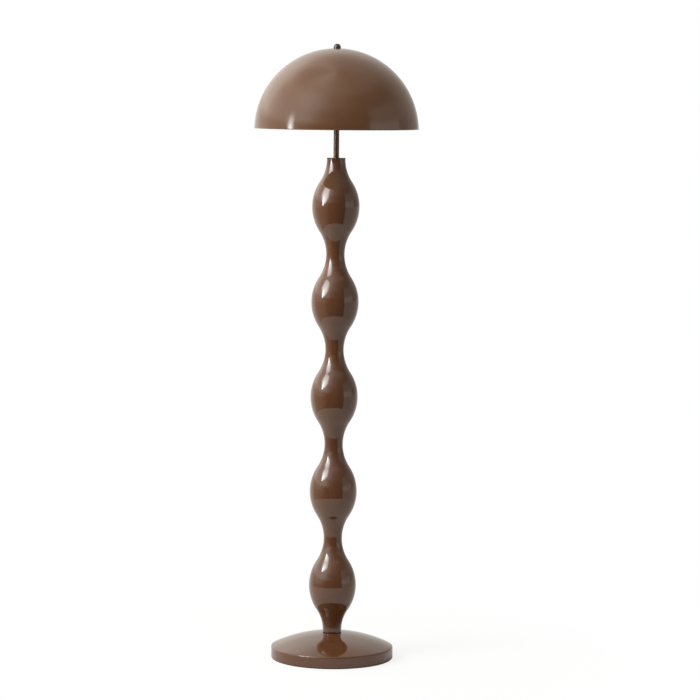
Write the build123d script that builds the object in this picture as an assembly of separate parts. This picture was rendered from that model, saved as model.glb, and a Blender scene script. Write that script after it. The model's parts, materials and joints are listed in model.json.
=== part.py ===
from build123d import *
from math import acos, asin, atan2, cos, degrees, hypot, radians, sin, sqrt
import os

# Mushroom floor lamp. Millimetres, +Z up, origin on the floor at the middle of the base.
# The lamp is turned about Z. The harp lies in the XZ plane, the switch knob points to -Y
# and the cord leaves the base at +Y.

# ---- clearances ----
PASS_CLEARANCE = 0.4        # round the rod where it only passes through
THREAD_CLEARANCE = 0.05     # between a plain-cut thread and its nut
LOCATING_CLEARANCE = 0.1    # round a spigot that centres a turned piece
SLEEVE_CLEARANCE = 0.2      # between sleeves pushed into each other
RUNNING_CLEARANCE = 0.05    # round a shaft that turns
END_PLAY = 0.3              # between faces that move past each other
CUT_MARGIN = 1.0            # how far a cutter runs past the face that it opens

# ---- base ----
BASE_RADIUS = 152.5
BASE_DOME_RADIUS = 349.0    # radius of the sphere that the dome is cut from
BASE_DOME_HEIGHT = 64.2     # where that sphere would top out above the floor
BASE_EDGE_RADIUS = 4.0      # rounding between dome and upright wall
COVER_WALL = 1.2
SEAT_LAND_MARGIN = 1.2      # flat land round the foot of the column
FELT_THICKNESS = 2.0
FELT_INSET = 1.5
WEIGHT_THICKNESS = 16.0
WEIGHT_GAP = 0.5
WEIGHT_HUB_MARGIN = 1.5
NUT_POCKET_RADIUS = 17.0
NUT_POCKET_DEPTH = 18.0
CORD_GROOVE_GAP = 0.8       # between the bushing and the sides and roof of the groove
CORD_HEIGHT = 7.2           # bushing axis above the felt
BUSHING_BORE_RADIUS = 3.6
BUSHING_RADIUS = 5.2
BUSHING_FLANGE_RADIUS = 6.8
BUSHING_FLANGE = 1.6
BUSHING_REACH = 7.0         # length from the flange inwards

# ---- rod and its fasteners ----
ROD_RADIUS = 5.0
ROD_BORE_RADIUS = 3.7
ROD_TAIL = 1.5              # rod standing out of the base nut
ROD_GRIP = 5.5              # rod standing up inside the hub of the lamp holder
WASHER_RADIUS = 14.0
WASHER_THICKNESS = 1.6
LOCK_WASHER_RADIUS = 9.5
LOCK_WASHER_THICKNESS = 1.2
NUT_FLATS = 17.0
NUT_HEIGHT = 5.5
NUT_BEVEL = 0.8             # height of the bevel at a nut's corners

# ---- column ----
BEAD_COUNT = 5
BEAD_PITCH = 236.6
BEAD_RADIUS = 58.8
NECK_RADIUS = 22.85
BULGE_SHARE = 0.52          # share of the swelling curve that belongs to the bulge
SEAT_RING_THICKNESS = 1.6
LOCATOR_RADIUS = 12.0
LOCATOR_DEPTH = 10.0
LOCATOR_END_GAP = 0.3

# ---- cap and stem ----
CAP_OVERHANG = 0.65
CAP_THICKNESS = 2.3
CAP_EDGE_RADIUS = 0.6
STEM_RADIUS = 7.0
STEM_WALL = 1.2
STEM_LENGTH = 85.5
STEM_NUT_FLATS = 16.0
STEM_NUT_HEIGHT = 3.5

# ---- harp ----
SADDLE_THICKNESS = 1.6
SADDLE_WIDTH = 12.7
SADDLE_BASE_HALF = 22.0
SADDLE_SHELF_HEIGHT = 10.0
SADDLE_SHELF_MARGIN = 1.5
TONGUE_WIDTH = 6.0
TONGUE_HEIGHT = 10.0
WIRE_RADIUS = 2.0
HARP_HALF_SPAN = 33.0       # leg centre from the lamp's axis
HARP_HALF_WIDTH = 56.0      # where the harp is widest
HARP_HEIGHT = 178.0         # underside of the saddle to the seat for the shade
HARP_LEG = 30.0             # upright stretch that the ferrules slide on
HARP_BEND_SHARE = 0.5       # share of a leg's double bend that turns it upright again
FERRULE_LENGTH = 14.0
FERRULE_WALL = 1.0
BOSS_RADIUS = 6.0
BOSS_HEIGHT = 8.0
PIVOT_RADIUS = 2.5
RIVET_RADIUS = 4.5
RIVET_THICKNESS = 1.5
FLANGE_RADIUS = 9.0
FLANGE_THICKNESS = 1.5
STUD_RADIUS = 3.15
STUD_LENGTH = 9.5           # above the flange

# ---- shade and finial ----
SHADE_RADIUS = 203.0
SHADE_WALL = 0.8
SHADE_RIM_ABOVE_CENTRE = 6.4
SHADE_LAND_RADIUS = 12.0
SHADE_HOLE_RADIUS = 3.6
HEM_RADIUS = 1.25
HEM_PROUD = 1.0             # how far the rolled hem stands outside the shade's wall
PAD_MARGIN = 1.0
PAD_THICKNESS = 1.0
FINIAL_WASHER_RADIUS = 9.4
FINIAL_WASHER_THICKNESS = 0.6
FINIAL_RADIUS = 9.0
FINIAL_HEIGHT = 11.0
FINIAL_BORE_MARGIN = 0.6    # bore past the end of the stud

# ---- lamp holder ----
HUB_RADIUS = 8.0
HUB_HEIGHT = 6.0
HOLDER_CAP_RADIUS = 16.6
HOLDER_CAP_HEIGHT = 18.0
HOLDER_CAP_BEND = 5.0
HOLDER_CAP_WALL = 0.9
HOLDER_SHELL_WALL = 0.6
HOLDER_HEIGHT = 60.0
HOLDER_LIP_RADIUS = 0.7
LINER_WALL = 0.8
LINER_SETBACK = 1.0
BODY_HEIGHT = 25.0
BODY_CHAMFER = 2.3
WIRING_RECESS_RADIUS = 9.0
WIRING_RECESS_DEPTH = 6.0
SET_SCREW_RADIUS = 1.5
SET_SCREW_PROUD = 0.8
TERMINAL_HEAD_RADIUS = 3.0
TERMINAL_HEAD_HEIGHT = 1.7
TERMINAL_SHANK_RADIUS = 1.6
TERMINAL_SHANK_LENGTH = 5.0
TERMINAL_HEIGHT = 14.0      # above the underside of the moulded body
TERMINAL_FLAT_DEPTH = 2.0
CONTACT_RADIUS = 4.0
CONTACT_THICKNESS = 0.5
SWITCH_HEIGHT = 17.0        # shaft axis above the underside of the moulded body
SHAFT_RADIUS = 1.6
SHAFT_INNER_END = 6.0
COLLAR_RADIUS = 3.2
COLLAR_PROUD = 4.0
KNOB_RADIUS = 6.0
KNOB_LENGTH = 12.0
KNOB_CROWN = 1.5
KNOB_GRIP = 9.0             # depth of the shaft in the knob
KNOB_FLUTES = 12
KNOB_FLUTE_RADIUS = 0.8

# ---- screw thread of the bulb ----
THREAD_PITCH = 3.63
THREAD_DEPTH = 0.8
THREAD_MEAN_RADIUS = 12.6
THREAD_GAP = 0.35
SHEET_WALL = 0.35
SHELL_TURNS = 6
BULB_TURNS = 5

# ---- bulb ----
BULB_RADIUS = 30.0
BULB_LENGTH = 110.0
BULB_NECK_RADIUS = 11.6
BULB_NECK_END = 31.0        # neck above the tip of the bulb
BULB_GLASS_WALL = 0.8
BULB_GLASS_OVERLAP = 3.0
BULB_TIP_RADIUS = 4.0
BULB_TIP_HEIGHT = 1.2
INSULATOR_HEIGHT = 3.0
INSULATOR_RADIUS = 9.5
INSULATOR_RIM = 1.0         # upright edge of the insulator, under the cap
BULB_SKIRT = 3.0            # plain edge of the cap above its thread

# ---- heights that follow from the stack ----
BASE_SPHERE_Z = BASE_DOME_HEIGHT - BASE_DOME_RADIUS
SEAT_LAND_RADIUS = NECK_RADIUS + SEAT_LAND_MARGIN
SEAT_LAND_Z = BASE_SPHERE_Z + sqrt(BASE_DOME_RADIUS**2 - SEAT_LAND_RADIUS**2)
COLUMN_Z = SEAT_LAND_Z + SEAT_RING_THICKNESS
COLUMN_TOP_Z = COLUMN_Z + BEAD_COUNT * BEAD_PITCH
STEM_Z = COLUMN_TOP_Z + CAP_THICKNESS
STEM_NUT_Z = STEM_Z + STEM_LENGTH
SADDLE_Z = STEM_NUT_Z + STEM_NUT_HEIGHT
HOLDER_Z = SADDLE_Z + SADDLE_THICKNESS
SHELF_Z = SADDLE_Z + SADDLE_SHELF_HEIGHT
HARP_SEAT_Z = SADDLE_Z + HARP_HEIGHT
BOSS_TOP_Z = HARP_SEAT_Z - FLANGE_THICKNESS - END_PLAY
SHADE_LAND_Z = HARP_SEAT_Z + PAD_THICKNESS + SHADE_WALL
SHADE_CENTRE_Z = SHADE_LAND_Z - sqrt(SHADE_RADIUS**2 - SHADE_LAND_RADIUS**2)
FINIAL_Z = SHADE_LAND_Z + FINIAL_WASHER_THICKNESS
NUT_POCKET_TOP_Z = FELT_THICKNESS + NUT_POCKET_DEPTH
LOCK_WASHER_Z = NUT_POCKET_TOP_Z - WASHER_THICKNESS - LOCK_WASHER_THICKNESS
NUT_Z = LOCK_WASHER_Z - NUT_HEIGHT
BODY_Z = HOLDER_Z + HUB_HEIGHT + HOLDER_CAP_WALL
BODY_TOP_Z = BODY_Z + BODY_HEIGHT
BULB_TIP_Z = BODY_TOP_Z + CONTACT_THICKNESS + END_PLAY
BULB_THREAD_Z = BULB_TIP_Z + BULB_TIP_HEIGHT + INSULATOR_HEIGHT

# ---- radii that follow from the fits ----
ROD_HOLE = ROD_RADIUS + PASS_CLEARANCE
THREADED_HOLE = ROD_RADIUS + THREAD_CLEARANCE
SOCKET_RADIUS = LOCATOR_RADIUS + LOCATING_CLEARANCE
SHELL_RADIUS = HOLDER_CAP_RADIUS - HOLDER_CAP_WALL - SLEEVE_CLEARANCE
LINER_RADIUS = SHELL_RADIUS - HOLDER_SHELL_WALL - SLEEVE_CLEARANCE
BODY_RADIUS = LINER_RADIUS - LINER_WALL - SLEEVE_CLEARANCE
TERMINAL_FLAT = BODY_RADIUS - TERMINAL_FLAT_DEPTH
SHAFT_HOLE = SHAFT_RADIUS + RUNNING_CLEARANCE
COLLAR_HOLE = COLLAR_RADIUS + LOCATING_CLEARANCE
KNOB_START = SHELL_RADIUS + COLLAR_PROUD + END_PLAY
SWITCH_Z = BODY_Z + SWITCH_HEIGHT
TONGUE_OUTER = HARP_HALF_SPAN - WIRE_RADIUS - LOCATING_CLEARANCE
TONGUE_INNER = TONGUE_OUTER - SADDLE_THICKNESS
FERRULE_CENTRE = (TONGUE_INNER + HARP_HALF_SPAN + WIRE_RADIUS) / 2
FERRULE_BORE = hypot(FERRULE_CENTRE - TONGUE_INNER, TONGUE_WIDTH / 2) + SLEEVE_CLEARANCE


# ---- drawing helpers: outlines are drawn as (radius, height) in the XZ plane ----
def at(radius, height):
    return Vector(radius, 0, height)


def line(start, end):
    return Edge.make_line(at(*start), at(*end))


def arc(start, middle, end):
    return Edge.make_three_point_arc(at(*start), at(*middle), at(*end))


def corner_arc(centre, radius, from_angle, to_angle):
    """Arc round centre, with angles in degrees from the +X direction towards +Z."""
    def point(angle):
        return (centre[0] + radius * cos(radians(angle)), centre[1] + radius * sin(radians(angle)))
    return arc(point(from_angle), point((from_angle + to_angle) / 2), point(to_angle))


def turned(edges):
    return revolve(make_face(edges), Axis.Z)


def turned_polygon(*points):
    closed = points + points[:1]
    return turned([line(start, end) for start, end in zip(closed, closed[1:])])


def ring(inner, outer, bottom, top):
    return turned_polygon((inner, bottom), (outer, bottom), (outer, top), (inner, top))


def upright(radius, bottom, top, x=0, y=0):
    return Pos(x, y, (bottom + top) / 2) * Cylinder(radius, top - bottom)


def hex_nut(flats, bottom, height):
    top = bottom + height
    blank = extrude(Pos(0, 0, bottom) * RegularPolygon(flats / 2, 6, major_radius=False), height)
    corner = flats / sqrt(3)
    rounded = blank & turned_polygon(
        (0, bottom), (flats / 2, bottom), (corner, bottom + NUT_BEVEL),
        (corner, top - NUT_BEVEL), (flats / 2, top), (0, top))
    return rounded - upright(THREADED_HOLE, bottom - CUT_MARGIN, top + CUT_MARGIN)


def swelling(narrow, wide, height, wide_share):
    """Two tangent arcs that swell from narrow to wide over height: their radii and turn."""
    turn = 2 * atan2(wide - narrow, height)
    both = height / sin(turn)
    return both * (1 - wide_share), both * wide_share, turn


# ---- base ----
def dome_outline(inset):
    """Half outline of the base dome, a wall's inset inside its outer face."""
    sphere = BASE_DOME_RADIUS - inset
    edge = BASE_EDGE_RADIUS - inset
    edge_x = BASE_RADIUS - BASE_EDGE_RADIUS
    edge_z = BASE_SPHERE_Z + sqrt((BASE_DOME_RADIUS - BASE_EDGE_RADIUS) ** 2 - edge_x**2)
    edge_angle = degrees(atan2(edge_z - BASE_SPHERE_Z, edge_x))
    land_z = SEAT_LAND_Z - inset
    land_x = sqrt(sphere**2 - (land_z - BASE_SPHERE_Z) ** 2)
    land_angle = degrees(acos(land_x / sphere))
    foot = (BASE_RADIUS - inset, FELT_THICKNESS)
    edges = [
        line(foot, (BASE_RADIUS - inset, edge_z)),
        corner_arc((edge_x, edge_z), edge, 0, edge_angle),
        corner_arc((0, BASE_SPHERE_Z), sphere, edge_angle, land_angle),
        line((land_x, land_z), (ROD_HOLE, land_z)),
    ]
    return edges, foot, (ROD_HOLE, land_z), land_x


def base_cover():
    outer, outer_foot, outer_hole, _ = dome_outline(0)
    inner, inner_foot, inner_hole, _ = dome_outline(COVER_WALL)
    cover = turned(outer + inner + [line(outer_foot, inner_foot), line(outer_hole, inner_hole)])
    return cover - cord_drill(BUSHING_RADIUS + LOCATING_CLEARANCE)


def cord_drill(radius):
    """Cutter along Y for the cord bushing, through the rear wall."""
    place = Pos(0, BASE_RADIUS, FELT_THICKNESS + CORD_HEIGHT) * Rot(90, 0, 0)
    return place * Cylinder(radius, 2 * BUSHING_REACH)


def base_weight():
    rim = BASE_RADIUS - COVER_WALL - WEIGHT_GAP
    hub = dome_outline(COVER_WALL)[3] - WEIGHT_HUB_MARGIN
    top = FELT_THICKNESS + WEIGHT_THICKNESS
    hub_top = SEAT_LAND_Z - COVER_WALL
    weight = turned_polygon(
        (ROD_HOLE, FELT_THICKNESS), (rim, FELT_THICKNESS), (rim, top),
        (hub, top), (hub, hub_top), (ROD_HOLE, hub_top))
    groove_half = BUSHING_RADIUS + CORD_GROOVE_GAP
    groove_height = CORD_HEIGHT + groove_half
    groove = Pos(0, rim, FELT_THICKNESS + groove_height / 2) * Box(
        2 * groove_half, 2 * rim, groove_height)
    pocket = upright(NUT_POCKET_RADIUS, 0, NUT_POCKET_TOP_Z)
    return weight - groove - pocket


def felt_pad():
    return upright(BASE_RADIUS - FELT_INSET, 0, FELT_THICKNESS)


def cord_bushing():
    """Turned about its own bore, then laid along +Y with its flange on the rear wall."""
    bushing = turned_polygon(
        (BUSHING_BORE_RADIUS, -BUSHING_REACH), (BUSHING_RADIUS, -BUSHING_REACH), (BUSHING_RADIUS, 0),
        (BUSHING_FLANGE_RADIUS, 0), (BUSHING_FLANGE_RADIUS, BUSHING_FLANGE),
        (BUSHING_BORE_RADIUS, BUSHING_FLANGE))
    return Pos(0, BASE_RADIUS, FELT_THICKNESS + CORD_HEIGHT) * Rot(-90, 0, 0) * bushing


# ---- rod and fasteners ----
def central_rod():
    return ring(ROD_BORE_RADIUS, ROD_RADIUS, NUT_Z - ROD_TAIL, HOLDER_Z + ROD_GRIP)


def base_washer():
    return ring(ROD_HOLE, WASHER_RADIUS, NUT_POCKET_TOP_Z - WASHER_THICKNESS, NUT_POCKET_TOP_Z)


def lock_washer():
    return ring(ROD_HOLE, LOCK_WASHER_RADIUS, LOCK_WASHER_Z, LOCK_WASHER_Z + LOCK_WASHER_THICKNESS)


# ---- column ----
def seat_ring():
    return turned_polygon(
        (ROD_HOLE, SEAT_LAND_Z), (NECK_RADIUS, SEAT_LAND_Z), (NECK_RADIUS, COLUMN_Z),
        (LOCATOR_RADIUS, COLUMN_Z), (LOCATOR_RADIUS, COLUMN_Z + LOCATOR_DEPTH),
        (ROD_HOLE, COLUMN_Z + LOCATOR_DEPTH))


def column_bead(index):
    """One turned bead: neck, bulge and neck, bored for the rod and the locating dowels."""
    bottom = COLUMN_Z + index * BEAD_PITCH
    top = bottom + BEAD_PITCH
    middle = bottom + BEAD_PITCH / 2
    hollow, bulge, turn = swelling(NECK_RADIUS, BEAD_RADIUS, BEAD_PITCH / 2, BULGE_SHARE)
    turn = degrees(turn)
    neck_x = NECK_RADIUS + hollow
    outline = [
        corner_arc((neck_x, bottom), hollow, 180, 180 - turn),
        corner_arc((BEAD_RADIUS - bulge, middle), bulge, -turn, turn),
        corner_arc((neck_x, top), hollow, 180 + turn, 180),
        line((NECK_RADIUS, top), (ROD_HOLE, top)),
        line((ROD_HOLE, top), (ROD_HOLE, bottom)),
        line((ROD_HOLE, bottom), (NECK_RADIUS, bottom)),
    ]
    depth = LOCATOR_DEPTH + LOCATOR_END_GAP
    return turned(outline) - upright(SOCKET_RADIUS, bottom, bottom + depth) - upright(
        SOCKET_RADIUS, top - depth, top)


def neck_dowel(index):
    neck = COLUMN_Z + index * BEAD_PITCH
    return ring(ROD_HOLE, LOCATOR_RADIUS, neck - LOCATOR_DEPTH, neck + LOCATOR_DEPTH)


def top_cap():
    edge = NECK_RADIUS + CAP_OVERHANG
    cap = turned_polygon(
        (ROD_HOLE, COLUMN_TOP_Z - LOCATOR_DEPTH), (LOCATOR_RADIUS, COLUMN_TOP_Z - LOCATOR_DEPTH),
        (LOCATOR_RADIUS, COLUMN_TOP_Z), (edge, COLUMN_TOP_Z), (edge, STEM_Z), (ROD_HOLE, STEM_Z))
    rim = cap.edges().filter_by(GeomType.CIRCLE).sort_by(lambda edge_: edge_.radius)[-2:]
    return fillet(rim, CAP_EDGE_RADIUS)


def stem_tube():
    return ring(STEM_RADIUS - STEM_WALL, STEM_RADIUS, STEM_Z, STEM_NUT_Z)


# ---- harp ----
def harp_saddle():
    """Bent strip: base, two risers, two shelves, and a tongue upright on each shelf."""
    shelf_end = HARP_HALF_SPAN + WIRE_RADIUS + FERRULE_WALL + SADDLE_SHELF_MARGIN
    shelf_low = SHELF_Z - SADDLE_THICKNESS
    saddle = Pos(0, 0, SADDLE_Z + SADDLE_THICKNESS / 2) * Box(
        2 * SADDLE_BASE_HALF, SADDLE_WIDTH, SADDLE_THICKNESS)
    for side in (-1, 1):
        riser = Box(SADDLE_THICKNESS, SADDLE_WIDTH, SADDLE_SHELF_HEIGHT)
        shelf_start = SADDLE_BASE_HALF - SADDLE_THICKNESS
        shelf = Box(shelf_end - shelf_start, SADDLE_WIDTH, SADDLE_THICKNESS)
        tongue = Box(SADDLE_THICKNESS, TONGUE_WIDTH, TONGUE_HEIGHT)
        saddle += Pos(
            side * (SADDLE_BASE_HALF - SADDLE_THICKNESS / 2), 0, SADDLE_Z + SADDLE_SHELF_HEIGHT / 2
        ) * riser
        saddle += Pos(side * (shelf_start + shelf_end) / 2, 0, (shelf_low + SHELF_Z) / 2) * shelf
        saddle += Pos(
            side * (TONGUE_INNER + TONGUE_OUTER) / 2, 0, SHELF_Z + TONGUE_HEIGHT / 2) * tongue
    return saddle - upright(ROD_HOLE, SADDLE_Z - SADDLE_THICKNESS, HOLDER_Z + SADDLE_THICKNESS)


def harp_half():
    """One side of the harp's wire, from its foot on the shelf to the boss at the top."""
    wire_top = BOSS_TOP_Z - BOSS_HEIGHT / 2
    arch = HARP_HALF_WIDTH - BOSS_RADIUS
    leg_top = SHELF_Z + HARP_LEG
    widest = wire_top - arch
    lower, upper, turn = swelling(HARP_HALF_SPAN, HARP_HALF_WIDTH, widest - leg_top, HARP_BEND_SHARE)
    turn = degrees(turn)
    path = Wire([
        line((HARP_HALF_SPAN, SHELF_Z), (HARP_HALF_SPAN, leg_top)),
        corner_arc((HARP_HALF_SPAN + lower, leg_top), lower, 180, 180 - turn),
        corner_arc((HARP_HALF_WIDTH - upper, widest), upper, -turn, 0),
        corner_arc((BOSS_RADIUS, widest), arch, 0, 90),
        line((BOSS_RADIUS, wire_top), (0, wire_top)),
    ])
    return sweep(Pos(HARP_HALF_SPAN, 0, SHELF_Z) * Circle(WIRE_RADIUS), path)


def harp():
    half = harp_half()
    loop = half + mirror(half, Plane.YZ)
    loop += upright(BOSS_RADIUS, BOSS_TOP_Z - BOSS_HEIGHT, BOSS_TOP_Z)
    bore = PIVOT_RADIUS + RUNNING_CLEARANCE
    return loop - upright(bore, BOSS_TOP_Z - 2 * BOSS_HEIGHT, BOSS_TOP_Z + BOSS_HEIGHT)


def harp_stud():
    """Riveted through the harp's boss, so that it turns there: rivet, pivot, flange, stud."""
    boss_low = BOSS_TOP_Z - BOSS_HEIGHT
    rivet_top = boss_low - END_PLAY
    flange_low = HARP_SEAT_Z - FLANGE_THICKNESS
    return turned_polygon(
        (0, rivet_top - RIVET_THICKNESS), (RIVET_RADIUS, rivet_top - RIVET_THICKNESS),
        (RIVET_RADIUS, rivet_top), (PIVOT_RADIUS, rivet_top), (PIVOT_RADIUS, flange_low),
        (FLANGE_RADIUS, flange_low), (FLANGE_RADIUS, HARP_SEAT_Z), (STUD_RADIUS, HARP_SEAT_Z),
        (STUD_RADIUS, HARP_SEAT_Z + STUD_LENGTH), (0, HARP_SEAT_Z + STUD_LENGTH))


def harp_ferrule(side):
    sleeve = ring(FERRULE_BORE, FERRULE_BORE + FERRULE_WALL, SHELF_Z, SHELF_Z + FERRULE_LENGTH)
    return Pos(side * FERRULE_CENTRE, 0, 0) * sleeve


# ---- shade and finial ----
def shade():
    inner_radius = SHADE_RADIUS - SHADE_WALL
    under_land = SHADE_LAND_Z - SHADE_WALL
    inner_land = under_land_radius()
    rim = SHADE_RIM_ABOVE_CENTRE
    rim_z = SHADE_CENTRE_Z + rim
    outer_rim = sqrt(SHADE_RADIUS**2 - rim**2)
    inner_rim = sqrt(inner_radius**2 - rim**2)
    centre = (0, SHADE_CENTRE_Z)
    shell = turned([
        corner_arc(centre, SHADE_RADIUS, degrees(asin(rim / SHADE_RADIUS)),
                   degrees(acos(SHADE_LAND_RADIUS / SHADE_RADIUS))),
        line((SHADE_LAND_RADIUS, SHADE_LAND_Z), (SHADE_HOLE_RADIUS, SHADE_LAND_Z)),
        line((SHADE_HOLE_RADIUS, SHADE_LAND_Z), (SHADE_HOLE_RADIUS, under_land)),
        line((SHADE_HOLE_RADIUS, under_land), (inner_land, under_land)),
        corner_arc(centre, inner_radius, degrees(acos(inner_land / inner_radius)),
                   degrees(asin(rim / inner_radius))),
        line((inner_rim, rim_z), (outer_rim, rim_z)),
    ])
    hem_x = outer_rim + HEM_PROUD - HEM_RADIUS
    hem = Pos(0, 0, rim_z) * Torus(hem_x, HEM_RADIUS)
    return shell + hem


def under_land_radius():
    """Where the flat under the top of the shade meets the inside of its dome."""
    inner_radius = SHADE_RADIUS - SHADE_WALL
    return sqrt(inner_radius**2 - (SHADE_LAND_Z - SHADE_WALL - SHADE_CENTRE_Z) ** 2)


def shade_pad():
    return ring(SHADE_HOLE_RADIUS, under_land_radius() - PAD_MARGIN, HARP_SEAT_Z,
                HARP_SEAT_Z + PAD_THICKNESS)


def finial_washer():
    return ring(SHADE_HOLE_RADIUS, FINIAL_WASHER_RADIUS, SHADE_LAND_Z, FINIAL_Z)


def finial():
    """Ball knob, cut flat below and bored for the stud."""
    centre_z = FINIAL_Z + FINIAL_HEIGHT - FINIAL_RADIUS
    ball = Pos(0, 0, centre_z) * Sphere(FINIAL_RADIUS)
    below = upright(2 * FINIAL_RADIUS, FINIAL_Z - 2 * FINIAL_RADIUS, FINIAL_Z)
    bore_top = HARP_SEAT_Z + STUD_LENGTH + FINIAL_BORE_MARGIN
    return ball - below - upright(STUD_RADIUS + RUNNING_CLEARANCE, FINIAL_Z - CUT_MARGIN, bore_top)


# ---- lamp holder ----
def holder_cap():
    """Spun cup with a threaded hub: hub, flat floor, rounded corner and upright wall."""
    wall = HOLDER_CAP_WALL
    bend_x = HOLDER_CAP_RADIUS - HOLDER_CAP_BEND
    bend_z = HOLDER_Z + HUB_HEIGHT + HOLDER_CAP_BEND
    top = HOLDER_Z + HOLDER_CAP_HEIGHT
    inner = HOLDER_CAP_RADIUS - wall
    cap = turned([
        line((THREADED_HOLE, HOLDER_Z), (HUB_RADIUS, HOLDER_Z)),
        line((HUB_RADIUS, HOLDER_Z), (HUB_RADIUS, HOLDER_Z + HUB_HEIGHT)),
        line((HUB_RADIUS, HOLDER_Z + HUB_HEIGHT), (bend_x, HOLDER_Z + HUB_HEIGHT)),
        corner_arc((bend_x, bend_z), HOLDER_CAP_BEND, -90, 0),
        line((HOLDER_CAP_RADIUS, bend_z), (HOLDER_CAP_RADIUS, top)),
        line((HOLDER_CAP_RADIUS, top), (inner, top)),
        line((inner, top), (inner, bend_z)),
        corner_arc((bend_x, bend_z), HOLDER_CAP_BEND - wall, 0, -90),
        line((bend_x, BODY_Z), (THREADED_HOLE, BODY_Z)),
        line((THREADED_HOLE, BODY_Z), (THREADED_HOLE, HOLDER_Z)),
    ])
    return cap - set_screw_rod(SET_SCREW_RADIUS + THREAD_CLEARANCE, ROD_RADIUS / 2, 2 * HUB_RADIUS)


def set_screw_rod(radius, start, end):
    """Round bar along +Y through the hub of the holder's cap, from start to end."""
    place = Pos(0, (start + end) / 2, HOLDER_Z + HUB_HEIGHT / 2) * Rot(90, 0, 0)
    return place * Cylinder(radius, end - start)


def set_screw():
    return set_screw_rod(SET_SCREW_RADIUS, THREADED_HOLE, HUB_RADIUS + SET_SCREW_PROUD)


def switch_rod(radius, start, end):
    """Round bar along -Y on the switch's axis, from start to end, both counted outwards."""
    return Pos(0, -(start + end) / 2, SWITCH_Z) * Rot(90, 0, 0) * Cylinder(radius, end - start)


def holder_shell():
    bottom = HOLDER_Z + HUB_HEIGHT + HOLDER_CAP_BEND
    top = HOLDER_Z + HOLDER_HEIGHT
    shell = ring(SHELL_RADIUS - HOLDER_SHELL_WALL, SHELL_RADIUS, bottom, top)
    lip = Pos(0, 0, top) * Torus(SHELL_RADIUS - HOLDER_SHELL_WALL / 2, HOLDER_LIP_RADIUS)
    return shell + lip - switch_rod(COLLAR_HOLE, BODY_RADIUS, 2 * SHELL_RADIUS)


def holder_liner():
    bottom = HOLDER_Z + HUB_HEIGHT + HOLDER_CAP_BEND
    top = HOLDER_Z + HOLDER_HEIGHT - LINER_SETBACK
    liner = ring(LINER_RADIUS - LINER_WALL, LINER_RADIUS, bottom, top)
    return liner - switch_rod(COLLAR_HOLE, BODY_RADIUS / 2, 2 * SHELL_RADIUS)


def holder_body():
    """Moulded block: recess for the wiring below, flats for the terminals, bore for the shaft."""
    body = turned_polygon(
        (0, BODY_Z), (BODY_RADIUS - BODY_CHAMFER, BODY_Z), (BODY_RADIUS, BODY_Z + BODY_CHAMFER),
        (BODY_RADIUS, BODY_TOP_Z), (0, BODY_TOP_Z))
    body -= upright(WIRING_RECESS_RADIUS, BODY_Z - CUT_MARGIN, BODY_Z + WIRING_RECESS_DEPTH)
    body -= switch_rod(SHAFT_HOLE, SHAFT_INNER_END - END_PLAY, 2 * BODY_RADIUS)
    flat = 2 * TERMINAL_HEAD_RADIUS + 2 * TERMINAL_SHANK_RADIUS
    for side in (-1, 1):
        body -= Pos(side * (TERMINAL_FLAT + BODY_RADIUS), 0, BODY_Z + TERMINAL_HEIGHT) * Box(
            2 * BODY_RADIUS, 2 * BODY_RADIUS, flat)
        body -= terminal_bar(side, TERMINAL_SHANK_RADIUS + THREAD_CLEARANCE,
                             TERMINAL_FLAT - TERMINAL_SHANK_LENGTH, 2 * TERMINAL_FLAT)
    return body


def terminal_bar(side, radius, start, end):
    place = Pos(side * (start + end) / 2, 0, BODY_Z + TERMINAL_HEIGHT) * Rot(0, 90, 0)
    return place * Cylinder(radius, end - start)


def terminal_screw(side):
    shank = terminal_bar(side, TERMINAL_SHANK_RADIUS, TERMINAL_FLAT - TERMINAL_SHANK_LENGTH, TERMINAL_FLAT)
    head = terminal_bar(side, TERMINAL_HEAD_RADIUS, TERMINAL_FLAT, TERMINAL_FLAT + TERMINAL_HEAD_HEIGHT)
    return shank + head


def thread_waves(mean, bottom, turns):
    """Rolled thread drawn as rings: arcs in and out about a mean radius, going up."""
    half_pitch = THREAD_PITCH / 2
    waves = []
    for step in range(2 * turns):
        start = bottom + step * half_pitch
        side = 1 if step % 2 == 0 else -1
        waves.append(arc(
            (mean, start), (mean + side * THREAD_DEPTH / 2, start + half_pitch / 2),
            (mean, start + half_pitch)))
    return waves


def screw_shell():
    """Rolled brass shell, from the moulded body up past the bulb's thread."""
    inner = THREAD_MEAN_RADIUS + THREAD_GAP
    outer = inner + SHEET_WALL
    low = BODY_TOP_Z
    start = BULB_THREAD_Z
    end = start + SHELL_TURNS * THREAD_PITCH
    return turned(
        [line((inner, low), (inner, start))] + thread_waves(inner, start, SHELL_TURNS)
        + [line((inner, end), (outer, end))] + thread_waves(outer, start, SHELL_TURNS)
        + [line((outer, start), (outer, low)), line((outer, low), (inner, low))])


def centre_contact():
    return upright(CONTACT_RADIUS, BODY_TOP_Z, BODY_TOP_Z + CONTACT_THICKNESS)


def switch_collar():
    collar = switch_rod(COLLAR_RADIUS, BODY_RADIUS + LOCATING_CLEARANCE, SHELL_RADIUS + COLLAR_PROUD)
    return collar - switch_rod(SHAFT_HOLE, 0, 2 * SHELL_RADIUS)


def switch_shaft():
    return switch_rod(SHAFT_RADIUS, SHAFT_INNER_END, KNOB_START + KNOB_GRIP)


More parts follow.
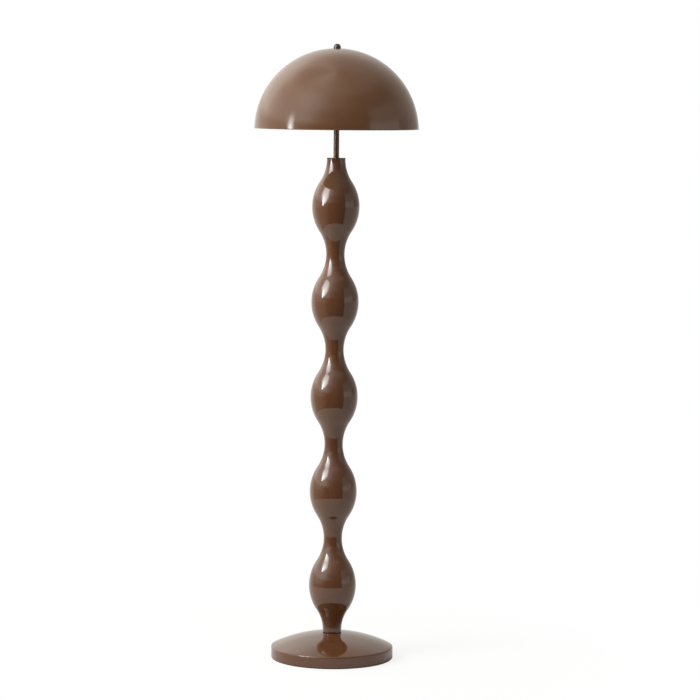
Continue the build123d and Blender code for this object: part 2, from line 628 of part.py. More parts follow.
def switch_knob():
    """Fluted knob with a crowned end, turned about its own axis and laid along -Y."""
    knob = turned_polygon(
        (0, 0), (KNOB_RADIUS, 0), (KNOB_RADIUS, KNOB_LENGTH - KNOB_CROWN),
        (KNOB_RADIUS - KNOB_CROWN, KNOB_LENGTH), (0, KNOB_LENGTH))
    for flute in PolarLocations(KNOB_RADIUS, KNOB_FLUTES):
        knob -= flute * Cylinder(KNOB_FLUTE_RADIUS, 3 * KNOB_LENGTH)
    knob -= upright(SHAFT_RADIUS + LOCATING_CLEARANCE, -CUT_MARGIN, KNOB_GRIP + LOCATING_CLEARANCE)
    return Pos(0, -KNOB_START, SWITCH_Z) * Rot(90, 0, 0) * knob


# ---- bulb ----
def bulb_cap():
    """Rolled metal cap: thread, then a plain skirt that holds the glass."""
    outer = THREAD_MEAN_RADIUS
    inner = outer - SHEET_WALL
    start = BULB_THREAD_Z
    end = start + BULB_TURNS * THREAD_PITCH
    top = end + BULB_SKIRT
    skirt = outer - THREAD_DEPTH / 2
    skirt_inner = skirt - SHEET_WALL
    return turned(
        [line((inner, start), (outer, start))] + thread_waves(outer, start, BULB_TURNS)
        + [line((outer, end), (skirt, end + SHEET_WALL)), line((skirt, end + SHEET_WALL), (skirt, top)),
           line((skirt, top), (skirt_inner, top)), line((skirt_inner, top), (skirt_inner, end)),
           line((skirt_inner, end), (inner, end))] + thread_waves(inner, start, BULB_TURNS))


def bulb_insulator():
    """Cone of glass that closes the cap below and carries the tip contact."""
    low = BULB_TIP_Z + BULB_TIP_HEIGHT
    rim = THREAD_MEAN_RADIUS - SHEET_WALL
    return turned_polygon(
        (0, low), (BULB_TIP_RADIUS, low), (INSULATOR_RADIUS, BULB_THREAD_Z - INSULATOR_RIM),
        (rim, BULB_THREAD_Z - INSULATOR_RIM), (rim, BULB_THREAD_Z), (0, BULB_THREAD_Z))


def bulb_contact():
    """Button of solder with a rounded edge."""
    low = BULB_TIP_Z
    top = low + BULB_TIP_HEIGHT
    flat = BULB_TIP_RADIUS - BULB_TIP_HEIGHT
    return turned([
        line((0, low), (flat, low)),
        corner_arc((flat, top), BULB_TIP_HEIGHT, -90, 0),
        line((BULB_TIP_RADIUS, top), (0, top)),
        line((0, top), (0, low)),
    ])


def glass_outline(inset, low):
    """Half outline of the bulb: straight neck, flare, and the round top, down to the axis."""
    ball = BULB_RADIUS - inset
    ball_z = BULB_TIP_Z + BULB_LENGTH - BULB_RADIUS
    neck = BULB_NECK_RADIUS - inset
    neck_z = BULB_TIP_Z + BULB_NECK_END
    rise = ball_z - neck_z
    flare = (rise**2 + BULB_NECK_RADIUS**2 - BULB_RADIUS**2) / (2 * (BULB_RADIUS - BULB_NECK_RADIUS))
    flare_x = BULB_NECK_RADIUS + flare
    angle = degrees(atan2(rise, flare_x))
    return [
        line((neck, low), (neck, neck_z)),
        corner_arc((flare_x, neck_z), flare + inset, 180, 180 - angle),
        corner_arc((0, ball_z), ball, -angle, 90),
    ], (neck, low), (0, ball_z + ball)


def bulb_glass():
    low = BULB_THREAD_Z + BULB_TURNS * THREAD_PITCH + BULB_SKIRT - BULB_GLASS_OVERLAP
    outer, outer_foot, outer_top = glass_outline(0, low)
    inner, inner_foot, inner_top = glass_outline(BULB_GLASS_WALL, low)
    return turned(outer + inner + [line(outer_foot, inner_foot), line(outer_top, inner_top)])


# ---- every node by name ----
def nodes():
    pieces = {
        "felt_pad": felt_pad(),
        "base_weight": base_weight(),
        "base_cover": base_cover(),
        "cord_bushing": cord_bushing(),
        "base_nut": hex_nut(NUT_FLATS, NUT_Z, NUT_HEIGHT),
        "lock_washer": lock_washer(),
        "base_washer": base_washer(),
        "central_rod": central_rod(),
        "seat_ring": seat_ring(),
        "neck_dowels": Compound([neck_dowel(index).solid() for index in range(1, BEAD_COUNT)]),
        "top_cap": top_cap(),
        "stem_tube": stem_tube(),
        "stem_lock_nut": hex_nut(STEM_NUT_FLATS, STEM_NUT_Z, STEM_NUT_HEIGHT),
        "harp_saddle": harp_saddle(),
        "harp": harp(),
        "harp_stud": harp_stud(),
        "harp_ferrule_left": harp_ferrule(-1),
        "harp_ferrule_right": harp_ferrule(1),
        "shade_pad": shade_pad(),
        "shade": shade(),
        "finial_washer": finial_washer(),
        "finial": finial(),
        "holder_cap": holder_cap(),
        "holder_set_screw": set_screw(),
        "holder_shell": holder_shell(),
        "holder_liner": holder_liner(),
        "holder_body": holder_body(),
        "terminal_screws": Compound([terminal_screw(side).solid() for side in (-1, 1)]),
        "screw_shell": screw_shell(),
        "centre_contact": centre_contact(),
        "switch_collar": switch_collar(),
        "switch_shaft": switch_shaft(),
        "switch_knob": switch_knob(),
        "bulb_cap": bulb_cap(),
        "bulb_insulator": bulb_insulator(),
        "bulb_contact": bulb_contact(),
        "bulb_glass": bulb_glass(),
    }
    for index in range(BEAD_COUNT):
        pieces[f"column_bead_{index + 1}"] = column_bead(index)
    return pieces


os.makedirs("parts", exist_ok=True)
for name, piece in nodes().items():
    export_step(piece, f"parts/{name}.step")
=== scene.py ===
import json
from math import acos, asin, atan2, cos, degrees, pi, radians, sin, sqrt, tau

import bmesh
import bpy
from mathutils import Matrix, Vector


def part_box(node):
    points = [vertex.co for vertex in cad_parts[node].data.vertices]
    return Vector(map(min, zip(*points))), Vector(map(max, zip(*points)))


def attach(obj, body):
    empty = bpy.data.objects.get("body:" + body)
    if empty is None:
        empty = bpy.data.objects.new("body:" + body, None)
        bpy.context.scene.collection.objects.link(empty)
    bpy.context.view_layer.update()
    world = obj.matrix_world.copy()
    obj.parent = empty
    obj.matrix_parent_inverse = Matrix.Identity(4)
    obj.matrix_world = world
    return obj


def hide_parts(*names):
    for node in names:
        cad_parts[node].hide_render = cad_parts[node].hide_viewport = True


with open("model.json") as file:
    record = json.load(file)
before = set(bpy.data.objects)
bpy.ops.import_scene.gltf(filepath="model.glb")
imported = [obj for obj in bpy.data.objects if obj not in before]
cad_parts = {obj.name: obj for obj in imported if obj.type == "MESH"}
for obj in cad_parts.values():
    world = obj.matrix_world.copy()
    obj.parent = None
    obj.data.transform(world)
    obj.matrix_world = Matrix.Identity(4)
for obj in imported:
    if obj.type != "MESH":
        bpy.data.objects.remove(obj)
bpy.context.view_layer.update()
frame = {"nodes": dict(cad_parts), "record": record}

# Mushroom floor lamp: metres, +Z up, front towards -Y, where the camera stands.

# ---- sizes of the turned pieces ----
BEAD_COUNT = 5
BULGE_SHARE = 0.52          # the bulge's part of a bead's two arc radii, bulge and neck added up
NECK_RADIUS = 0.02285
FOOT_HEIGHT = 0.0032        # the slight collar that the lowest bead ends in
FOOT_RADIUS = 0.0233        # at the collar's top
FOOT_FLARE = 0.00045        # how much wider the collar is where it meets the base
BASE_DOME_RADIUS = 0.349
BASE_EDGE_RADIUS = 0.005
SEAT_LAND_RADIUS = 0.02405
COVER_WALL = 0.0012
CORD_HOLE_RADIUS = 0.0053
CORD_DRILL_REACH = 0.02
ROD_HOLE = 0.0054
SHADE_RADIUS = 0.203
SHADE_WALL = 0.0008
SHADE_LAND_RADIUS = 0.012
SHADE_HOLE_RADIUS = 0.0036
SHADE_RIM_ABOVE_CENTRE = 0.0064
HEM_RADIUS = 0.00125
HEM_PROUD = 0.001
STEM_WALL = 0.0012
FINIAL_RADIUS = 0.009
FINIAL_BORE_RADIUS = 0.0032
FINIAL_BORE_DEPTH = 0.009

# ---- fineness of the meshes ----
SAME_PLACE = 1e-7           # points closer than this are one
NECK_STEPS = 50
SHARP_DEGREES = 30          # edges that turn more than this stay sharp

# ---- camera ----
CAMERA_PLACE = (0.0385, -6.954, 1.440)
CAMERA_PITCH = 5.470        # degrees below the horizon
CAMERA_ROLL = 0.55          # degrees
CAMERA_LENS = 144.6
CAMERA_REACH = 100

# ---- lamps: foot is the width's share at the lower end, top the brightness's share at the upper end ----
KEY_PLACE = (-1.73, -1.00, 2.30)
KEY_SIZE = (2.10, 2.20)
KEY_RADIANCE = 12.5
KEY_FOOT = 0.22
KEY_TOP = 0.45
MATT_KEY_PLACE = (-1.45, -1.38, 2.80)
MATT_KEY_RADIANCE = 5.6     # lights the shade's matt colour, without a highlight
STRIP_PLACE = (-1.800, -0.872, 1.66)
STRIP_SIZE = (0.36, 1.06)
STRIP_RADIANCE = 25.0
STRIP_FOOT = 1.0
STRIP_TOP = 0.06
FULL_WIDTH_FROM = 0.36      # share of a softbox's height from which it has its full width
DIMMING = (0.15, 0.8)       # shares of its height between which it goes from full to top brightness
SIDE_FADE = 0.3             # share of the half width from which it fades out sideways
END_FADE = 0.7              # share of the half height from which it fades out at both ends

# ---- floor: a white sheet that the lamp stands on ----
FLOOR_Z = -0.0003           # clear of the felt's underside
FLOOR_HALF = 30
SHEET_RADIUS = 1.17
SHEET_EDGE = 0.03           # width of the sheet's soft edge
SHEET_GREY = 0.7            # its matt colour, close to the lamp
SHEET_WHITE = 0.82          # share of plain white in it, as the camera sees it near the lamp
SHEET_BOUNCE = 1.1          # how much more of the sheet's light reaches matt surfaces than gloss shows
OWN_LIGHT_BLEND = (0.2, 0.45)   # distances from the axis over which the ramps' set light takes over
WHITE_BLEND = (0.3, 0.9)        # distances over which the camera's view of it goes to plain white

# ---- light round the lamp: degrees from the camera's side, the left positive, and radiance ----
PLAIN_LIGHT = 3.0           # what 1 on a ramp stands for
LIGHT_TINT = (1.02, 1.0, 0.94)
WALLS_LOW = (
    (-180, 0.9), (-150, 0.52), (-122, 0.52), (-118, 0.42), (-101, 0.42), (-97, 0.90), (-60, 1.22),
    (-50, 1.18), (-45, 0.14), (-10, 0.10), (20, 0.12), (35, 0.20), (50, 0.65), (64, 1.0), (78, 1.1),
    (104, 0.95), (120, 1.15), (150, 1.2), (180, 0.9))
WALLS_HIGH = (
    (-180, 0.95), (-150, 0.62), (-97, 0.52), (-88, 0.60), (-52, 0.66), (-47, 0.16), (0, 0.24), (20, 0.6),
    (30, 1.2), (44, 2.0), (58, 2.3), (72, 2.2), (90, 1.95), (112, 2.05), (125, 2.4), (150, 1.65),
    (180, 0.95))
CEILING = (
    (-180, 1.15), (-153, 0.85), (-100, 0.28), (-48, 0.26), (-20, 0.36), (4, 0.66), (17, 1.2), (30, 1.8),
    (43, 2.4), (57, 2.5), (75, 2.1), (95, 1.75), (112, 1.75), (128, 2.3), (150, 2.0), (165, 1.5),
    (180, 1.15))
OVERHEAD = (
    (-180, 0.9), (-90, 0.60), (-45, 0.60), (0, 0.95), (45, 1.8), (65, 1.8), (85, 1.35), (100, 1.1),
    (125, 1.1), (145, 1.5), (180, 0.9))
SHEET_LIGHT = (
    (-180, 0.85), (-120, 0.80), (-60, 0.88), (0, 0.95), (35, 1.05), (60, 1.2), (110, 1.25), (150, 1.1),
    (180, 0.85))
FLOOR_BEYOND = (            # past the sheet's edge
    (-180, 0.9), (-120, 0.70), (-50, 0.80), (-45, 0.12), (35, 0.14), (45, 0.3), (60, 0.5), (105, 0.7),
    (115, 1.2), (150, 1.2), (180, 0.9))
# sines of the elevation over which one ramp gives way to the next
LOW_TO_HIGH = (0.10, 0.25)
WALLS_TO_CEILING = (0.38, 0.58)
CEILING_TO_OVERHEAD = (0.66, 0.86)


# ---- meshes ----
def arc_points(centre, radius, start, end, steps):
    """Points of an arc, with angles in degrees from +X towards +Z."""
    points = []
    for step in range(steps + 1):
        angle = radians(start + (end - start) * step / steps)
        points.append((centre[0] + radius * cos(angle), centre[1] + radius * sin(angle)))
    return points


def outline(*runs):
    """Joins runs of (radius, height) points, and drops a point that repeats the last one."""
    points = []
    for run in runs:
        for point in run:
            if not points or abs(point[0] - points[-1][0]) + abs(point[1] - points[-1][1]) > SAME_PLACE:
                points.append(point)
    return points


def turned(name, points, segments=192):
    """Turns a closed outline of (radius, height) points about Z."""
    mesh = bpy.data.meshes.new(name)
    made = bmesh.new()
    rings = []
    for radius, height in points:
        if radius < SAME_PLACE:
            rings.append([made.verts.new((0, 0, height))])
        else:
            rings.append([
                made.verts.new((radius * cos(tau * k / segments), radius * sin(tau * k / segments), height))
                for k in range(segments)])
    for low, high in zip(rings, rings[1:] + rings[:1]):
        if len(low) == 1 and len(high) == 1:
            continue
        for k in range(segments):
            following = (k + 1) % segments
            if len(low) == 1:
                made.faces.new((low[0], high[following], high[k]))
            elif len(high) == 1:
                made.faces.new((low[k], low[following], high[0]))
            else:
                made.faces.new((low[k], low[following], high[following], high[k]))
    bmesh.ops.recalc_face_normals(made, faces=made.faces)
    made.to_mesh(mesh)
    made.free()
    mesh.shade_smooth()
    mesh.set_sharp_from_angle(angle=radians(SHARP_DEGREES))
    piece = bpy.data.objects.new(name, mesh)
    bpy.context.collection.objects.link(piece)
    return piece


def bead_outline(low, high, bulge_radius, footed):
    """Neck, bulge and neck, and back down the bore for the rod. A footed bead's neck ends in a slight
    collar."""
    half = (high - low) / 2
    turn = 2 * atan2(bulge_radius - NECK_RADIUS, half)
    both = half / sin(turn)
    hollow, bulge = both * (1 - BULGE_SHARE), both * BULGE_SHARE
    rise = hollow * sin(turn)
    foot = FOOT_HEIGHT if footed else 0
    lower_neck = [(FOOT_RADIUS + FOOT_FLARE, low)] if footed else []
    for step in range(NECK_STEPS + 1):
        share = step / NECK_STEPS
        extra = (FOOT_RADIUS - NECK_RADIUS) * (1 - share) if footed else 0
        lower_neck.append((NECK_RADIUS + hollow - sqrt(hollow**2 - (rise * share) ** 2) + extra,
                           low + foot + (rise - foot) * share))
    turn = degrees(turn)
    return outline(
        lower_neck,
        arc_points((bulge_radius - bulge, (low + high) / 2), bulge, -turn, turn, steps=80),
        arc_points((NECK_RADIUS + hollow, high), hollow, 180 + turn, 180, steps=40),
        [(ROD_HOLE, high), (ROD_HOLE, low)])


# ---- materials ----
class Nodes:
    """Short calls that add and link the nodes of one tree."""

    def __init__(self, tree):
        self.nodes = tree.nodes
        self.links = tree.links

    def node(self, kind, values=None, **settings):
        node = self.nodes.new(kind)
        for setting, value in settings.items():
            setattr(node, setting, value)
        for socket, value in (values or {}).items():
            if hasattr(value, "is_output"):
                self.links.new(value, node.inputs[socket])
            else:
                node.inputs[socket].default_value = value
        return node

    def math(self, operation, *values):
        return self.node("ShaderNodeMath", dict(enumerate(values)), operation=operation).outputs[0]

    def remap(self, source, low, high, span=(0.3, 0.7), interpolation="LINEAR"):
        return self.node("ShaderNodeMapRange", {
            "Value": source, "From Min": span[0], "From Max": span[1],
            "To Min": low, "To Max": high}, interpolation_type=interpolation).outputs[0]

    def soft_step(self, source, start, end):
        return self.remap(source, 0, 1, (start, end), "SMOOTHSTEP")

    def blend(self, factor, first, second):
        mix = self.node("ShaderNodeMix", data_type="RGBA")
        self.links.new(factor, mix.inputs["Factor"])
        for socket, colour in ((mix.inputs[6], first), (mix.inputs[7], second)):
            if hasattr(colour, "is_output"):
                self.links.new(colour, socket)
            else:
                socket.default_value = (*colour, 1)
        return mix.outputs[2]

    def split(self, vector):
        return self.node("ShaderNodeSeparateXYZ", {0: vector}).outputs

    def mix_shader(self, factor, first, second):
        return self.node("ShaderNodeMixShader", {0: factor, 1: first, 2: second}).outputs[0]

    def turn(self, x, y):
        """The angle about Z as a share of the whole turn: a half on the camera's side, -Y, and more on the
        left."""
        angle = self.math("ARCTAN2", self.math("MULTIPLY", x, -1), self.math("MULTIPLY", y, -1))
        return self.remap(angle, 0, 1, (-pi, pi))

    def light_round(self, turn, stops):
        """Light by the turn about Z, from (degrees, radiance) stops."""
        ramp = self.node("ShaderNodeValToRGB", {0: turn})
        elements = ramp.color_ramp.elements
        while len(elements) < len(stops):
            elements.new(0.5)
        for element, (angle, value) in zip(elements, stops):
            element.position = (angle + 180) / 360
            element.color = (*(value / PLAIN_LIGHT * tint for tint in LIGHT_TINT), 1)
        return ramp.outputs[0]


class Finish(Nodes):
    """A Principled material whose colour, roughness and bump come from procedural nodes."""

    def __init__(self, name, **values):
        self.material = bpy.data.materials.new(name)
        self.material.use_nodes = True
        super().__init__(self.material.node_tree)
        self.shader = self.nodes["Principled BSDF"]
        for socket, value in values.items():
            self.shader.inputs[socket.replace("_", " ")].default_value = value
        self.place = self.nodes.new("ShaderNodeTexCoord").outputs["Object"]

    def noise(self, scale, detail, stretch=(1, 1, 1)):
        place = self.node("ShaderNodeMapping", {"Vector": self.place, "Scale": stretch}).outputs[0]
        return self.node("ShaderNodeTexNoise", {
            "Vector": place, "Scale": scale, "Detail": detail}).outputs["Fac"]

    def colour(self, output):
        self.links.new(output, self.shader.inputs["Base Color"])

    def rough(self, output):
        self.links.new(output, self.shader.inputs["Roughness"])

    def bump(self, height, distance):
        bump = self.node("ShaderNodeBump", {"Height": height, "Strength": 1.0, "Distance": distance})
        self.links.new(bump.outputs[0], self.shader.inputs["Normal"])


def mottled(name, first, second, scale, rough, bump, bump_scale, stretch=(1, 1, 1), **values):
    """Two close colours mixed by noise, with uneven roughness and a fine bump."""
    finish = Finish(name, **values)
    finish.colour(finish.blend(finish.remap(finish.noise(scale, 4, stretch), 0, 1), first, second))
    finish.rough(finish.remap(finish.noise(scale * 1.7, 2), *rough))
    if bump:
        finish.bump(finish.noise(bump_scale, 3, stretch), bump)
    return finish.material


def lacquer(name, first, second):
    """Deep brown gloss, with a faint cloudiness drawn out along the turned piece."""
    finish = Finish(name, IOR=1.54)
    grain = finish.remap(finish.noise(18, 5, (1, 1, 0.12)), 0, 1)
    finish.colour(finish.blend(grain, first, second))
    finish.rough(finish.remap(finish.noise(40, 2), 0.035, 0.06))
    return finish.material


def shade_finish(name, centre_z, browns, whites):
    """Semi-gloss brown enamel outside and off-white inside, told apart by the distance from the centre."""
    finish = Finish(name, IOR=1.5)
    distance = finish.node("ShaderNodeVectorMath", {0: finish.place, 1: (0, 0, centre_z)},
                           operation="DISTANCE").outputs["Value"]
    outside = finish.math("GREATER_THAN", distance, SHADE_RADIUS - SHADE_WALL / 2)
    brown = finish.blend(finish.remap(finish.noise(9, 4), 0, 1), *browns)
    white = finish.blend(finish.remap(finish.noise(14, 3), 0, 1), *whites)
    finish.colour(finish.blend(outside, white, brown))
    finish.rough(finish.remap(finish.noise(60, 2), 0.11, 0.15))
    return finish.material


LACQUER_BROWNS = (0.075, 0.0280, 0.0110), (0.087, 0.0335, 0.0138)
SHADE_BROWNS = (0.118, 0.0515, 0.0235), (0.130, 0.0580, 0.0270)
SHADE_WHITES = (0.74, 0.72, 0.67), (0.78, 0.76, 0.71)

# what mottled() takes: two colours, the mottling's scale, roughness, the bump's depth and scale, and the rest
MOTTLED = {
    "dark_bronze": ((0.082, 0.052, 0.030), (0.102, 0.067, 0.040), 60, (0.24, 0.34), 0.00001, 500,
                    {"Metallic": 0.6}),
    "finial_bronze": ((0.060, 0.045, 0.035), (0.085, 0.066, 0.052), 160, (0.22, 0.32), 0.00001, 700,
                      {"Metallic": 0.7}),
    "felt": ((0.012, 0.011, 0.010), (0.026, 0.023, 0.020), 900, (0.9, 1.0), 0.0004, 1600,
             {"Sheen_Weight": 0.3}),
    "cast_iron": ((0.07, 0.07, 0.07), (0.11, 0.11, 0.105), 120, (0.6, 0.8), 0.0002, 500, {"Metallic": 0.8}),
    "steel": ((0.50, 0.50, 0.49), (0.60, 0.60, 0.58), 200, (0.28, 0.42), 0.00001, 900, {"Metallic": 1.0}),
    "harp_steel": ((0.50, 0.47, 0.42), (0.60, 0.57, 0.51), 200, (0.22, 0.34), 0.00001, 900,
                   {"Metallic": 1.0}),
    "plain_wood": ((0.50, 0.35, 0.20), (0.60, 0.44, 0.27), 60, (0.6, 0.75), 0.0001, 300,
                   {"stretch": (1, 1, 0.1)}),
    "liner_fibre": ((0.40, 0.30, 0.19), (0.50, 0.38, 0.25), 300, (0.75, 0.9), 0.0001, 900, {}),
    "moulded_black": ((0.024, 0.022, 0.020), (0.036, 0.033, 0.030), 150, (0.4, 0.55), 0.00003, 800, {}),
    "black_plastic": ((0.016, 0.016, 0.016), (0.026, 0.026, 0.025), 120, (0.18, 0.3), 0.00001, 600, {}),
    "brass": ((0.54, 0.39, 0.16), (0.66, 0.50, 0.24), 200, (0.18, 0.32), 0.00001, 900, {"Metallic": 1.0}),
    "rubber": ((0.024, 0.024, 0.023), (0.036, 0.035, 0.034), 200, (0.6, 0.8), 0.00003, 700, {}),
    "bulb_metal": ((0.68, 0.68, 0.67), (0.78, 0.78, 0.77), 160, (0.22, 0.36), 0.00001, 900,
                   {"Metallic": 1.0}),
    "bulb_insulator": ((0.018, 0.017, 0.024), (0.030, 0.028, 0.036), 200, (0.08, 0.16), 0, 0, {}),
    "bulb_glass": ((0.86, 0.84, 0.79), (0.90, 0.88, 0.83), 25, (0.28, 0.36), 0.00001, 900,
                   {"Subsurface_Weight": 0.1, "Subsurface_Radius": (0.004, 0.004, 0.004)}),
}


# ---- the object's pieces ----
def corners(node):
    low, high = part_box(node)
    return Vector(low), Vector(high)


def dress(piece, body, slot, material, *replaced):
    piece.data.materials.clear()
    piece.data.materials.append(material)
    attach(piece, body)
    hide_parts(*replaced)


_, shade_high = corners("shade")
shade_centre_z = shade_high.z - sqrt(SHADE_RADIUS**2 - SHADE_LAND_RADIUS**2)

# the finish of each material slot
materials = {name: lacquer(name, *LACQUER_BROWNS) for name in ("base_lacquer", "column_lacquer")}
materials["shade_enamel"] = shade_finish("shade_enamel", shade_centre_z, SHADE_BROWNS, SHADE_WHITES)
for name, (*row, values) in MOTTLED.items():
    materials[name] = mottled(name, *row, **values)

# nodes whose finish is darker than their slot's: the finial washer's own darker bronze, and the seat ring,
# near black and nearly without gloss, which paints the shade of the seam between the column and the base
darker_and_seam_shade = {
    # seat ring: near black and matt, painted seam shade between the column's foot and the base
    "seat_ring": mottled("seat_ring_painted_seam_shade", (0.008, 0.003, 0.001), (0.014, 0.006, 0.003), 200, (0.8, 0.9),
                         0.00002, 900, Specular_IOR_Level=0.05),
    "finial_washer": materials["finial_bronze"],
}

for subpart in frame["record"]["subparts"]:
    for material_slot in frame["nodes"][subpart["node"]].material_slots:
        material_slot.material = darker_and_seam_shade.get(subpart["node"], materials[subpart["material_slot"]])

# the column: bead 1 is the lowest
for number in range(1, BEAD_COUNT + 1):
    node = f"column_bead_{number}"
    low, high = corners(node)
    bead = turned(f"turned_bead_{number}", bead_outline(low.z, high.z, high.x, number == 1))
    dress(bead, "lamp", "column_lacquer", materials["column_lacquer"], node)

cover_low, cover_high = corners("base_cover")
base_radius = cover_high.x
base_sphere_z = cover_high.z - sqrt(BASE_DOME_RADIUS**2 - SEAT_LAND_RADIUS**2)


def dome_run(inset):
    """The base cover's upright wall, rounded edge, dome and flat land, this far inside its outside."""
    sphere = BASE_DOME_RADIUS - inset
    edge_x = base_radius - BASE_EDGE_RADIUS
    edge_z = base_sphere_z + sqrt((BASE_DOME_RADIUS - BASE_EDGE_RADIUS) ** 2 - edge_x**2)
    edge_angle = degrees(atan2(edge_z - base_sphere_z, edge_x))
    land_z = cover_high.z - inset
    land_x = sqrt(sphere**2 - (land_z - base_sphere_z) ** 2)
    return outline(
        [(base_radius - inset, cover_low.z)],
        arc_points((edge_x, edge_z), BASE_EDGE_RADIUS - inset, 0, edge_angle, steps=16),
        arc_points((0, base_sphere_z), sphere, edge_angle, degrees(acos(land_x / sphere)), steps=64),
        [(ROD_HOLE, land_z)])


# the shade: outside from the rim up, the land with its hole, inside down, and the rolled hem
rim_z = shade_centre_z + SHADE_RIM_ABOVE_CENTRE
inner_radius = SHADE_RADIUS - SHADE_WALL
inner_land_x = sqrt(inner_radius**2 - (shade_high.z - SHADE_WALL - shade_centre_z) ** 2)
outer_rim = sqrt(SHADE_RADIUS**2 - SHADE_RIM_ABOVE_CENTRE**2)
hem_x = outer_rim + HEM_PROUD - HEM_RADIUS
shell = outline(
    arc_points((0, shade_centre_z), SHADE_RADIUS, degrees(asin(SHADE_RIM_ABOVE_CENTRE / SHADE_RADIUS)),
               degrees(acos(SHADE_LAND_RADIUS / SHADE_RADIUS)), steps=120),
    [(SHADE_HOLE_RADIUS, shade_high.z), (SHADE_HOLE_RADIUS, shade_high.z - SHADE_WALL)],
    arc_points((0, shade_centre_z), inner_radius, degrees(acos(inner_land_x / inner_radius)),
               degrees(asin(SHADE_RIM_ABOVE_CENTRE / inner_radius)), steps=120))
shade = turned("shade_shell", shell, segments=256)
hem = turned("shade_hem", arc_points((hem_x, rim_z), HEM_RADIUS, 0, 345, steps=23), segments=256)
for piece in (shade, hem):
    dress(piece, "shade", "shade_enamel", materials["shade_enamel"], "shade")

# the base cover, outside then inside, with the cord's hole drilled through its rear wall
cover = turned("base_dome", dome_run(0) + dome_run(COVER_WALL)[::-1], segments=256)
drill = turned("cord_drill", [(0, -CORD_DRILL_REACH), (CORD_HOLE_RADIUS, -CORD_DRILL_REACH),
                              (CORD_HOLE_RADIUS, CORD_DRILL_REACH), (0, CORD_DRILL_REACH)], segments=48)
bushing_low, bushing_high = corners("cord_bushing")
drill.matrix_world = (Matrix.Translation((0, base_radius, (bushing_low.z + bushing_high.z) / 2))
                      @ Matrix.Rotation(pi / 2, 4, "X"))
cut = cover.modifiers.new("cord_hole", "BOOLEAN")
cut.object = drill
bpy.context.view_layer.update()
graph = bpy.context.evaluated_depsgraph_get()
cover.data = bpy.data.meshes.new_from_object(cover.evaluated_get(graph))
cover.modifiers.clear()
bpy.data.objects.remove(drill)
dress(cover, "lamp", "base_lacquer", materials["base_lacquer"], "base_cover")

stem_low, stem_high = corners("stem_tube")
stem_bore = stem_high.x - STEM_WALL
stem = turned("stem", [(stem_high.x, stem_low.z), (stem_high.x, stem_high.z),
                       (stem_bore, stem_high.z), (stem_bore, stem_low.z)], segments=96)
dress(stem, "lamp", "dark_bronze", materials["dark_bronze"], "stem_tube")

# the finial: a ball cut flat below, with a blind bore
finial_low, finial_high = corners("finial")
ball_z = finial_high.z - FINIAL_RADIUS
flat_angle = degrees(asin((ball_z - finial_low.z) / FINIAL_RADIUS))
bore_top = finial_low.z + FINIAL_BORE_DEPTH
knob = turned("finial_knob",
              arc_points((0, ball_z), FINIAL_RADIUS, -flat_angle, 90, steps=48)
              + [(0, bore_top), (FINIAL_BORE_RADIUS, bore_top), (FINIAL_BORE_RADIUS, finial_low.z)],
              segments=96)
dress(knob, "finial", "finial_bronze", materials["finial_bronze"], "finial")


# ---- floor, world, lights and camera ----
def studio():
    floor_mesh = bpy.data.meshes.new("floor")
    floor_mesh.from_pydata([(x * FLOOR_HALF, y * FLOOR_HALF, FLOOR_Z)
                            for x, y in ((-1, -1), (1, -1), (1, 1), (-1, 1))], [], [(0, 1, 2, 3)])
    floor = bpy.data.objects.new("floor", floor_mesh)
    bpy.context.collection.objects.link(floor)
    floor_mesh.materials.append(floor_material())

    world = bpy.data.worlds.new("studio")
    world.use_nodes = True
    bpy.context.scene.world = world
    world_light(world.node_tree)

    key = soft_light("key", KEY_PLACE, KEY_SIZE, KEY_RADIANCE, KEY_FOOT, KEY_TOP)
    link_light(key, (shade, hem), "EXCLUDE")
    soft_light("strip", STRIP_PLACE, STRIP_SIZE, STRIP_RADIANCE, STRIP_FOOT, STRIP_TOP)
    matt_key = soft_light("matt_key", MATT_KEY_PLACE, KEY_SIZE, MATT_KEY_RADIANCE, KEY_FOOT, KEY_TOP)
    matt_key.visible_glossy = False
    link_light(matt_key, (shade, hem), "INCLUDE")

    camera = bpy.data.objects.new("camera", bpy.data.cameras.new("camera"))
    bpy.context.collection.objects.link(camera)
    camera.data.lens = CAMERA_LENS
    camera.data.clip_end = CAMERA_REACH
    camera.matrix_world = (Matrix.Translation(CAMERA_PLACE)
                           @ Matrix.Rotation(radians(90 - CAMERA_PITCH), 4, "X")
                           @ Matrix.Rotation(radians(CAMERA_ROLL), 4, "Z"))
    bpy.context.scene.camera = camera


def link_light(lamp, pieces, state):
    """Lets a light reach these pieces alone (INCLUDE), or all but these (EXCLUDE)."""
    receivers = bpy.data.collections.new(lamp.name + "_receivers")
    lamp.light_linking.receiver_collection = receivers
    for piece in pieces:
        receivers.objects.link(piece)
    for entry in receivers.collection_objects:
        entry.light_linking.link_state = state


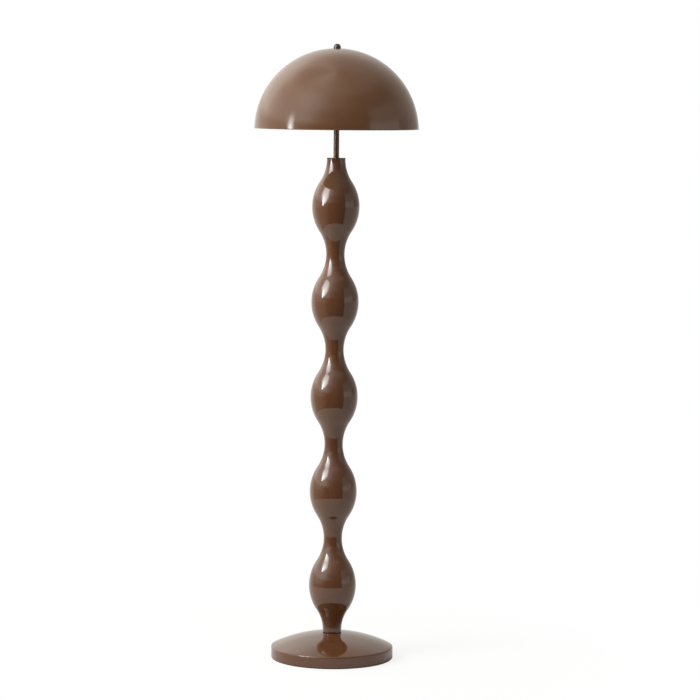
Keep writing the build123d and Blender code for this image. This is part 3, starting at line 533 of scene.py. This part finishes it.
def soft_light(name, place, size, radiance, foot, top):
    """A softbox that faces the lamp's axis and fades out towards its edges, foot times as wide at its lower
    end and top times as bright at its upper end."""
    light = bpy.data.lights.new(name, "AREA")
    light.shape = "RECTANGLE"
    light.size, light.size_y = size
    light.energy = radiance * pi * size[0] * size[1]
    light.use_nodes = True
    tree = Nodes(light.node_tree)
    across, up, _ = tree.split(tree.node("ShaderNodeNewGeometry").outputs["Parametric"])
    width = tree.remap(up, foot, 1, (0, FULL_WIDTH_FROM))
    aside = tree.math("DIVIDE", tree.math("ABSOLUTE", tree.math("MULTIPLY_ADD", across, 2, -1)), width)
    above = tree.math("ABSOLUTE", tree.math("MULTIPLY_ADD", up, 2, -1))
    mask = tree.math("MULTIPLY", tree.soft_step(aside, 1, SIDE_FADE), tree.soft_step(above, 1, END_FADE))
    strength = tree.math("MULTIPLY", mask, tree.remap(up, 1, top, DIMMING))
    tree.links.new(strength, tree.nodes["Emission"].inputs["Strength"])
    lamp = bpy.data.objects.new(name, light)
    bpy.context.collection.objects.link(lamp)
    direction = Vector((0, 0, place[2])) - Vector(place)
    lamp.matrix_world = Matrix.Translation(place) @ direction.to_track_quat("-Z", "Y").to_matrix().to_4x4()
    return lamp


def floor_material():
    """A white sheet round the lamp. Gloss and bounce see the sheet's set light, and the camera sees it go
    to plain white."""
    material = bpy.data.materials.new("floor_sheet")
    material.use_nodes = True
    tree = Nodes(material.node_tree)
    tree.nodes.clear()
    place = tree.node("ShaderNodeTexCoord").outputs["Object"]
    x, y, _ = tree.split(place)
    away = tree.node("ShaderNodeVectorMath", {0: place}, operation="LENGTH").outputs["Value"]
    turn = tree.turn(x, y)
    sheet = tree.node("ShaderNodeBsdfDiffuse", {"Color": (SHEET_GREY, SHEET_GREY, SHEET_GREY, 1)}).outputs[0]
    path = tree.node("ShaderNodeLightPath").outputs
    light = tree.blend(tree.soft_step(away, SHEET_RADIUS, SHEET_RADIUS + SHEET_EDGE),
                       tree.light_round(turn, SHEET_LIGHT), tree.light_round(turn, FLOOR_BEYOND))
    strength = tree.remap(path["Is Diffuse Ray"], PLAIN_LIGHT, PLAIN_LIGHT * SHEET_BOUNCE, (0, 1))
    lit = tree.node("ShaderNodeEmission", {"Color": light, "Strength": strength}).outputs[0]
    white = tree.node("ShaderNodeEmission").outputs[0]
    near_white = tree.mix_shader(SHEET_WHITE, sheet, white)
    surface = tree.mix_shader(
        path["Is Camera Ray"],
        tree.mix_shader(tree.soft_step(away, *OWN_LIGHT_BLEND), sheet, lit),
        tree.mix_shader(tree.soft_step(away, *WHITE_BLEND), near_white, white))
    tree.node("ShaderNodeOutputMaterial", {"Surface": surface})
    return material


def world_light(node_tree):
    """White for the camera; round the lamp a studio that is bright on the left and dark in front."""
    tree = Nodes(node_tree)
    tree.nodes.clear()
    x, y, up = tree.split(tree.node("ShaderNodeTexCoord").outputs["Generated"])
    turn = tree.turn(x, y)
    walls = tree.blend(tree.soft_step(up, *LOW_TO_HIGH), tree.light_round(turn, WALLS_LOW),
                       tree.light_round(turn, WALLS_HIGH))
    ceiling = tree.blend(tree.soft_step(up, *CEILING_TO_OVERHEAD), tree.light_round(turn, CEILING),
                         tree.light_round(turn, OVERHEAD))
    room = tree.blend(tree.soft_step(up, *WALLS_TO_CEILING), walls, ceiling)
    lit = tree.node("ShaderNodeBackground", {"Color": room, "Strength": PLAIN_LIGHT}).outputs[0]
    white = tree.node("ShaderNodeBackground", {"Color": (1, 1, 1, 1)}).outputs[0]
    path = tree.node("ShaderNodeLightPath").outputs
    seen = tree.math("MAXIMUM", path["Is Camera Ray"], path["Is Transmission Ray"])
    tree.node("ShaderNodeOutputWorld", {"Surface": tree.mix_shader(seen, lit, white)})


studio()
bpy.context.scene.view_settings.view_transform = "Standard"
